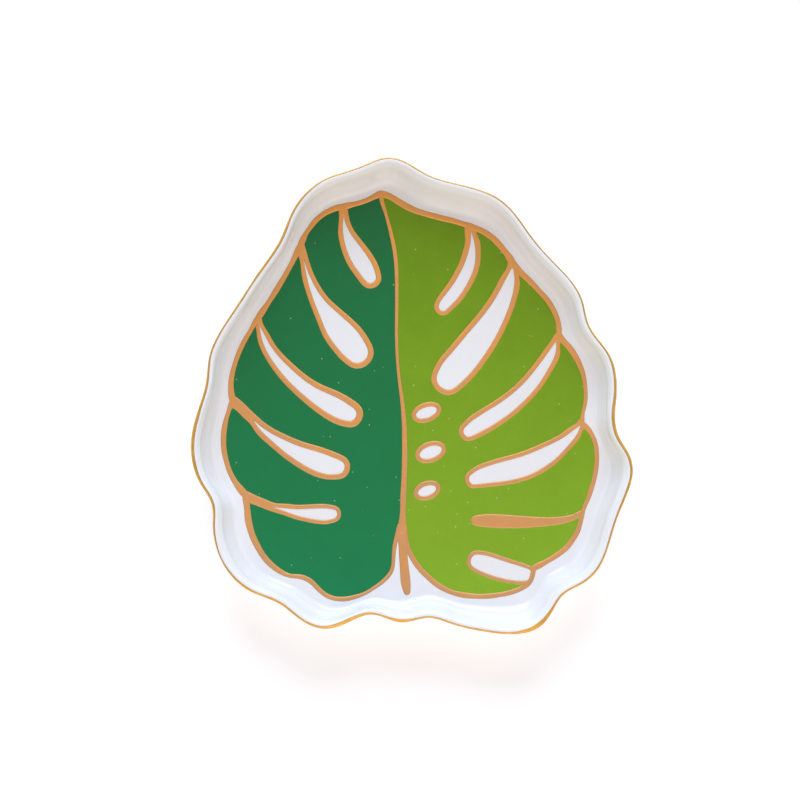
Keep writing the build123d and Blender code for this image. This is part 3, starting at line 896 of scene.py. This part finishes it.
@dataclass
class PrintedLeaf:
    """The printed leaf: two green halves and the gold lines over their edges, in millimetres."""

    coats: CoatLayer
    gold_coat: float = 0.16
    enamel_coat: float = 0.11
    gold_rounding: float = 0.5
    enamel_rounding: float = 0.4
    tuck: float = 0.14  # how far the greens run on under the gold
    line_step: float = 0.32
    line_gap: float = 0.11  # least distance between two points in a line
    line_ways: tuple[float, ...] = (0.10, 0.24, 0.45, 0.70, 1.00, 1.35, 1.75)
    line_probe: float = 0.06  # how far past a line's edge another one is looked for
    line_margin: float = 3.0  # how far off another line's edge can matter
    field_step: float = 0.8
    field_gap: float = 0.2
    field_ways: tuple[float, ...] = (0.16, 0.4)
    field_grid: float = 1.3
    field_edge: float = 0.9  # the grid stays this far from a field's edge
    clear_share: float = 0.93  # points in a row that come nearer to an edge are left out

    def rows_inside(self, plan: PrintPlan, ways: tuple[float, ...], gap: float) -> np.ndarray:
        """Points in rows along a plan's outlines, so that its dome follows them.

        Args:
            plan: the outlines.
            ways: how far in each row lies.
            gap: least distance between two points.

        Returns:
            x and y of the points.
        """
        cells: dict = {}
        for way in ways:
            row = np.concatenate([loop - way * beside(loop) for loop in plan.loops])
            clear = plan.way_to_edge(row) > self.clear_share * way
            for point in row[clear & plan.holds(row)]:
                cells.setdefault((round(point[0] / gap), round(point[1] / gap)), point)
        return np.array(list(cells.values()))

    def free_sides(self, plans: dict[str, PrintPlan]) -> tuple[np.ndarray, np.ndarray]:
        """Sides of the gold lines that no other gold line meets.

        Args:
            plans: plan of each line, by node.

        Returns:
            Starts and ends of those sides.
        """
        free_starts, free_ends = [], []
        for name, plan in plans.items():
            starts, ends = plan.sides()
            past = (starts + ends) / 2 + self.line_probe * right_of(ends - starts)
            free = np.ones(len(starts), bool)
            for other, against in plans.items():
                if other != name:
                    free &= ~against.holds(past)
            free_starts.append(starts[free])
            free_ends.append(ends[free])
        return np.concatenate(free_starts), np.concatenate(free_ends)

    def lines(self, gold: Material) -> None:
        """Build every gold line of the print, merged in look where two of them meet.

        Args:
            gold: their material.
        """
        others = {"porcelain_body", "white_glaze", "rim_gold_band"}
        names = [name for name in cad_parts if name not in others]
        plans = {
            name: PrintPlan(name, self.line_step)
            for name in sorted(names) if not name.endswith("_half")
        }
        starts, ends = self.free_sides(plans)
        for name, plan in plans.items():
            spots, faces = triangulate(plan, self.rows_inside(plan, self.line_ways, self.line_gap))
            low, high = spots.min(axis=0) - self.line_margin, spots.max(axis=0) + self.line_margin
            near = ((starts > low) & (starts < high)).all(axis=1)
            piece = self.coats.lay(
                f"{name}_gold", spots, faces, way_to(spots, starts[near], ends[near]), gold,
                CoatSizes(self.gold_coat, self.gold_rounding),
            )
            declare(piece, name)

    def half(self, node: str, slot: Slot, enamel: Material) -> None:
        """Build one green half of the leaf, a little wider than its node, to tuck under the gold.

        Args:
            node: node that it stands for.
            slot: its material slot; not used.
            enamel: its material.
        """
        plan = PrintPlan(node, self.field_step)
        plan.loops = [loop + self.tuck * beside(loop) for loop in plan.loops]
        everywhere = np.concatenate(plan.loops)
        low, high = everywhere.min(axis=0), everywhere.max(axis=0)
        step, row = self.field_grid, self.field_grid * math.sqrt(0.75)
        grid = np.array([
            (low[0] + (i + 0.5 * (j % 2)) * step, low[1] + j * row)
            for i in range(int((high[0] - low[0]) / step) + 1)
            for j in range(int((high[1] - low[1]) / row) + 1)
        ])
        grid = grid[plan.holds(grid)]
        grid = grid[plan.way_to_edge(grid) > self.field_edge]
        rows = self.rows_inside(plan, self.field_ways, self.field_gap)
        spots, faces = triangulate(plan, np.concatenate((grid, rows)))
        piece = self.coats.lay(
            f"{node}_enamel", spots, faces, plan.way_to_edge(spots), enamel,
            CoatSizes(self.enamel_coat, self.enamel_rounding),
        )
        declare(piece, node)


@dataclass(frozen=True)
class Grain:
    """One noise pattern of a finish: its size in millimetres, and the finer grain in it."""

    size_mm: float
    detail: float = 2.0
    roughness: float = 0.5


@dataclass(frozen=True)
class Ground:
    """What a finish starts from: what adds its nodes, object coordinates, and two patterns."""

    add: Callable[..., Node]
    place: NodeSocket
    coarse: Node
    fine: Node


@dataclass(frozen=True, kw_only=True)
class Finish:
    """Surface of one colour with patches of another, and with a fine pattern in relief."""

    name: str
    colour: str
    patch: str
    coarse: Grain
    fine: Grain
    relief: Pair  # how strongly the fine pattern shows, and its depth in mm
    roughness: float
    ior: float = 1.5

    def material(self) -> Material:
        """Make the material.

        Returns:
            The material.
        """
        material, add = new_material(self.name)
        place = add("ShaderNodeTexCoord").outputs["Object"]
        coarse, fine = (
            add("ShaderNodeTexNoise", {
                "Vector": place, "Scale": 1 / (grain.size_mm * MM), "Detail": grain.detail,
                "Roughness": grain.roughness})
            for grain in (self.coarse, self.fine)
        )
        strength, depth = self.relief
        bump = add("ShaderNodeBump", {
            "Height": fine, "Strength": strength, "Distance": depth * MM})
        shader = add("ShaderNodeBsdfPrincipled", {
            "Normal": bump, **self.shading(Ground(add, place, coarse, fine))})
        add("ShaderNodeOutputMaterial", {"Surface": shader})
        return material

    def shading(self, ground: Ground) -> dict[str, Any]:
        """Mix the colour and set the gloss.

        Args:
            ground: what the finish starts from.

        Returns:
            Values and links of the shader.
        """
        tint = ground.add(
            "ShaderNodeMix",
            {"Factor": ground.coarse, MIX_A: linear(self.colour), MIX_B: linear(self.patch)},
            data_type="RGBA")
        return {"Base Color": tint.outputs[MIX_OUT], "Roughness": self.roughness, "IOR": self.ior}


@dataclass(frozen=True, kw_only=True)
class GlazeFinish(Finish):
    """Clear-over-white porcelain glaze, fired glossy: bright, with faint pooling and ripples."""

    name: str = "glazed_porcelain"
    colour: str = "#F2F2F1"
    patch: str = "#EDECE9"
    coarse: Grain = Grain(18.0, detail=3.0)
    fine: Grain = Grain(2.5, roughness=0.4)
    relief: Pair = (0.10, 0.05)
    roughness: float = 0.07


@dataclass(frozen=True, kw_only=True)
class ClayFinish(Finish):
    """Bare fired porcelain, wiped clean of glaze on the foot: matt, chalky, faintly grainy."""

    name: str = "bare_fired_porcelain"
    colour: str = "#E6E0D6"
    patch: str = "#D6CDBF"
    coarse: Grain = Grain(0.8, detail=4.0)
    fine: Grain = Grain(0.8, detail=4.0)
    relief: Pair = (0.5, 0.03)
    roughness: float = 0.75


@dataclass(frozen=True, kw_only=True)
class CoatFinish(Finish):
    """Coat fired on the glaze: a second colour where thin and, as painted light, towards the stem;
    a third in marks.
    """

    mark: str
    thin_range: Pair = (0.35, 0.7)  # pattern values of full and of thin patches
    patchiness: float = 1.0  # how far the patches take it from full to thin
    painted_light_fade: Pair = (0.0, 0.0)  # painted light: how much of the second colour it adds, at the tip and the stem

    def mixed(self, ground: Ground, depth: Node, marks: Node) -> NodeSocket:
        """Mix the coat's colours, with less of the first towards the leaf's stem as painted light.

        Args:
            ground: what the finish starts from.
            depth: node with the pattern that thins the coat.
            marks: node with the marks.

        Returns:
            The socket with the colour.
        """
        add = ground.add
        low, high = self.thin_range
        patchy = add("ShaderNodeMapRange", {"Value": depth, "From Min": low, "From Max": high})
        parts = add("ShaderNodeSeparateXYZ", {0: ground.place})
        # Painted light: from the leaf's tip to its stem the colour shifts towards the second one
        painted_light_fade = add("ShaderNodeMapRange", {
            "Value": parts.outputs["Y"], "From Min": TIP_MM * MM, "From Max": STEM_MM * MM,
            "To Min": self.painted_light_fade[0], "To Max": self.painted_light_fade[1]})
        thin_patches_and_painted_light = add(
            "ShaderNodeMath", {0: patchy, 1: self.patchiness, 2: painted_light_fade},
            operation="MULTIPLY_ADD", use_clamp=True)
        colour: Any = linear(self.colour)
        for share, other in ((thin_patches_and_painted_light, self.patch), (marks, self.mark)):
            colour = add(
                "ShaderNodeMix", {"Factor": share, MIX_A: colour, MIX_B: linear(other)},
                data_type="RGBA").outputs[MIX_OUT]
        return colour


@dataclass(frozen=True, kw_only=True)
class EnamelFinish(CoatFinish):
    """Overglaze enamel, printed and fired: glossy, uneven in depth, with tiny pale pinholes;
    darker towards the tip, partly as painted shade.
    """

    mark: str = "#B9C7A4"
    coarse: Grain = Grain(9.0, detail=4.0, roughness=0.6)
    fine: Grain = Grain(0.7)
    thin_range: Pair = (0.45, 0.95)
    patchiness: float = 0.2
    # Darker at the tip and paler at the stem: partly uneven depth, partly painted shade near the
    # wall at the tip
    painted_light_fade: Pair = (-0.1, 0.9)
    relief: Pair = (0.15, 0.02)
    roughness: float = 0.14
    ior: float = 1.52
    fine_share: float = 0.35  # how much the fine pattern adds to the coarse one
    pinhole_mm: float = 3.2  # from one pinhole to the next
    pinhole_radii: Pair = (0.028, 0.07)  # clear middle and soft edge, of that
    pinhole_share: float = 0.8  # how strongly it shows

    def shading(self, ground: Ground) -> dict[str, Any]:
        """Mix the colour, with pinholes as marks, and set the gloss.

        Args:
            ground: what the finish starts from.

        Returns:
            Values and links of the shader.
        """
        depth = ground.add(
            "ShaderNodeMath", {0: ground.fine, 1: self.fine_share, 2: ground.coarse},
            operation="MULTIPLY_ADD")
        cells = ground.add("ShaderNodeTexVoronoi", {
            "Vector": ground.place, "Scale": 1 / (self.pinhole_mm * MM), "Randomness": 1.0})
        holes = ground.add("ShaderNodeMapRange", {
            "Value": cells.outputs["Distance"], "From Min": self.pinhole_radii[0],
            "From Max": self.pinhole_radii[1], "To Min": self.pinhole_share, "To Max": 0.0})
        colour = self.mixed(ground, depth, holes)
        return {"Base Color": colour, "Roughness": self.roughness, "IOR": self.ior}


@dataclass(frozen=True, kw_only=True)
class GoldFinish(CoatFinish):
    """Gold on glaze, brushed as lustre or printed as flakes in flux: darker along its edges, which
    on the lip is painted dark reflection.
    """

    metallic: float
    edge_mm: float  # width of its dark edge
    coarse: Grain = Grain(3.0, detail=5.0, roughness=0.6)
    fine: Grain = Grain(0.5, detail=3.0)
    relief: Pair = (0.25, 0.04)
    rough_range: Pair = (0.3, 0.7)  # pattern values of smooth and of rough
    shine: Pair = (0.8, 1.3)  # roughness there, as shares of the mean

    def shading(self, ground: Ground) -> dict[str, Any]:
        """Mix the colour, with the edge as a mark, and set the gloss.

        Args:
            ground: what the finish starts from.

        Returns:
            Values and links of the shader.
        """
        way = ground.add("ShaderNodeAttribute", attribute_name="edge_way")
        # On the lip this dark edge is painted dark reflection of its rounded sides
        rim = ground.add("ShaderNodeMapRange", {
            "Value": way.outputs["Fac"], "From Min": 0.0, "From Max": self.edge_mm * MM,
            "To Min": 1.0, "To Max": 0.0})
        rough = ground.add("ShaderNodeMapRange", {
            "Value": ground.fine, "From Min": self.rough_range[0],
            "From Max": self.rough_range[1], "To Min": self.roughness * self.shine[0],
            "To Max": self.roughness * self.shine[1]})
        colour = self.mixed(ground, ground.coarse, rim)
        return {"Base Color": colour, "Metallic": self.metallic, "Roughness": rough}


@dataclass(frozen=True)
class SoftLight:
    """Square soft light that faces the dish, in metres and watts."""

    name: str
    place: Triple
    size: float
    watts: float
    colour: str

    def hang(self) -> None:
        """Add the light to the scene."""
        data = bpy.data.lights.new(self.name, "AREA")
        data.size = self.size
        data.energy = self.watts
        data.color = linear(self.colour)[:3]
        lamp = bpy.data.objects.new(self.name, data)
        lamp.location = self.place
        lamp.rotation_euler = (-Vector(self.place)).to_track_quat("-Z", "Y").to_euler()
        bpy.context.scene.collection.objects.link(lamp)


@dataclass
class Studio:
    """Pale floor, a soft window beyond the dish's tip, a pale room, and the camera, in metres."""

    camera_place: Triple = (-0.00318, -0.08734, 0.7095)
    camera_tilt: float = math.radians(7)
    focal_pixels: float = 2639.0
    image_width: float = 800.0
    sensor: float = 36.0
    lights: tuple[SoftLight, ...] = (
        SoftLight("window_light", (-0.02, 1.00, 0.64), 0.90, 12.0, "#E0EAFF"),
        SoftLight("bounce_board", (0.03, -0.38, 0.48), 0.60, 1.75, "#FFEBD9"),
    )
    paper: str = "#F7F7F7"
    paper_roughness: float = 0.9
    paper_glow: float = 0.20  # light that the floor adds, as a lit white sweep does
    paper_mm: float = 4000.0  # from the floor's middle to its sides
    paper_under_mm: float = 0.02  # how far it lies under the foot
    near_tint: str = "#F7F7FC"
    far_tint: str = "#DEE9FF"
    turn: float = 0.7  # how far near and far reach towards the sides
    near_ceiling: float = 0.26  # brightness of the ceiling on the camera's side
    far_ceiling: float = 0.32  # brightness of the ceiling on the window's side
    walls: float = 8.0  # how much brighter than the ceiling the room is low down
    wall_top: float = 0.6  # where the ceiling's brightness starts, as the sine of the angle up
    horizon: float = 0.35  # brightness of the horizon itself, as a share of the walls'
    horizon_top: float = 0.2  # where its dimming ends, likewise

    def floor(self) -> None:
        """Make the floor that the dish stands on."""
        material, add = new_material("white_paper_floor")
        shader = add("ShaderNodeBsdfPrincipled", {
            "Base Color": linear(self.paper), "Roughness": self.paper_roughness,
            "Emission Color": linear("#FFFFFF"), "Emission Strength": self.paper_glow})
        add("ShaderNodeOutputMaterial", {"Surface": shader})
        square = np.array(((-1, -1, 0), (1, -1, 0), (1, 1, 0), (-1, 1, 0))) * self.paper_mm
        piece = mesh_object(
            "paper_floor", square - (0, 0, self.paper_under_mm), [(0, 1, 2, 3)], closed=False)
        piece.data.materials.append(material)

    def sky(self) -> None:
        """Make soft room light: cooler towards the window, brighter low down than overhead."""
        world = bpy.data.worlds.new("studio_room")
        world.use_nodes = True
        world.node_tree.nodes.clear()
        add = partial(add_node, world.node_tree)
        way = add("ShaderNodeTexCoord").outputs["Generated"]
        parts = add("ShaderNodeSeparateXYZ", {0: way}).outputs
        far = add(
            "ShaderNodeMapRange",
            {"Value": parts["Y"], "From Min": -self.turn, "From Max": self.turn},
            interpolation_type="SMOOTHSTEP")
        tint = add(
            "ShaderNodeMix",
            {"Factor": far, MIX_A: linear(self.near_tint), MIX_B: linear(self.far_tint)},
            data_type="RGBA")
        room = add("ShaderNodeMapRange", {
            "Value": far, "To Min": self.near_ceiling, "To Max": self.far_ceiling})
        low, rise = (
            add("ShaderNodeMapRange", {
                "Value": parts["Z"], "From Min": 0.0, "From Max": end, "To Min": start,
                "To Max": 1.0})
            for start, end in ((self.walls, self.wall_top), (self.horizon, self.horizon_top))
        )
        band = add("ShaderNodeMath", {0: low, 1: rise}, operation="MULTIPLY")
        light = add("ShaderNodeMath", {0: room, 1: band}, operation="MULTIPLY")
        back = add("ShaderNodeBackground", {"Color": tint.outputs[MIX_OUT], "Strength": light})
        add("ShaderNodeOutputWorld", {"Surface": back})
        bpy.context.scene.world = world

    def camera(self) -> None:
        """Put the camera at the photograph's viewpoint."""
        data = bpy.data.cameras.new("photo_camera")
        data.sensor_fit = "HORIZONTAL"
        data.sensor_width = self.sensor
        data.lens = self.focal_pixels * self.sensor / self.image_width
        camera = bpy.data.objects.new("photo_camera", data)
        camera.location = self.camera_place
        camera.rotation_euler = (self.camera_tilt, 0, 0)
        bpy.context.scene.collection.objects.link(camera)
        bpy.context.scene.camera = camera

    def build(self) -> None:
        """Set up floor, lights and camera."""
        self.floor()
        self.sky()
        for light in self.lights:
            light.hang()
        self.camera()
        bpy.context.scene.view_settings.view_transform = "Standard"


def clear_start_scene() -> None:
    """Remove the objects that a new file starts with."""
    for name in ("Cube", "Camera", "Light"):
        if name in bpy.data.objects:
            bpy.data.objects.remove(bpy.data.objects[name])


def main() -> None:
    """Build the studio and every piece of the dish, in order."""
    logging.basicConfig(level=logging.INFO, format="%(message)s")
    clear_start_scene()
    Studio().build()
    form = DishForm()

    body = GlazedBody(form)
    glaze = body.glaze()
    glaze.data.materials.append(GlazeFinish().material())
    declare(glaze, "white_glaze")
    clay = body.clay()
    clay.data.materials.append(ClayFinish().material())
    declare(clay, "porcelain_body")

    coats = CoatLayer(glaze)
    # Its dark edge colour along the band's sides is painted dark reflection on the lip's rounded
    # sides
    lustre = GoldFinish(
        name="lustre_gold_brushed", colour="#E9B75A", patch="#D6A24A", mark="#946A30",
        metallic=0.85, roughness=0.46, edge_mm=0.12,
    )
    band = LipGold(form).build(coats, lustre.material())
    declare(band, "rim_gold_band")

    leaf = PrintedLeaf(coats)
    # Both greens are darker at the leaf's tip and paler at its stem: partly uneven depth, partly
    # painted shade
    dark = EnamelFinish(name="dark_green_enamel_fired", colour="#1F6E38", patch="#18824B")
    light = EnamelFinish(
        name="light_green_enamel_fired", colour="#6C9108", patch="#8AB326", mark="#D3DDA8")
    leaf.half("dark_leaf_half", Slot.DARK_GREEN, dark.material())
    leaf.half("light_leaf_half", Slot.LIGHT_GREEN, light.material())
    # Bright orange at the leaf's tip and duller copper towards its stem: painted reflection of
    # warm light
    printed = GoldFinish(
        name="printed_gold_fired", colour="#F6A952", patch="#D49C68", mark="#9C693E",
        metallic=0.35, roughness=0.42, edge_mm=0.10, patchiness=0.35, painted_light_fade=(0.0, 0.65),
        coarse=Grain(8.0, detail=5.0, roughness=0.6),
    )
    leaf.lines(printed.material())


if __name__ == "__main__":
    main()
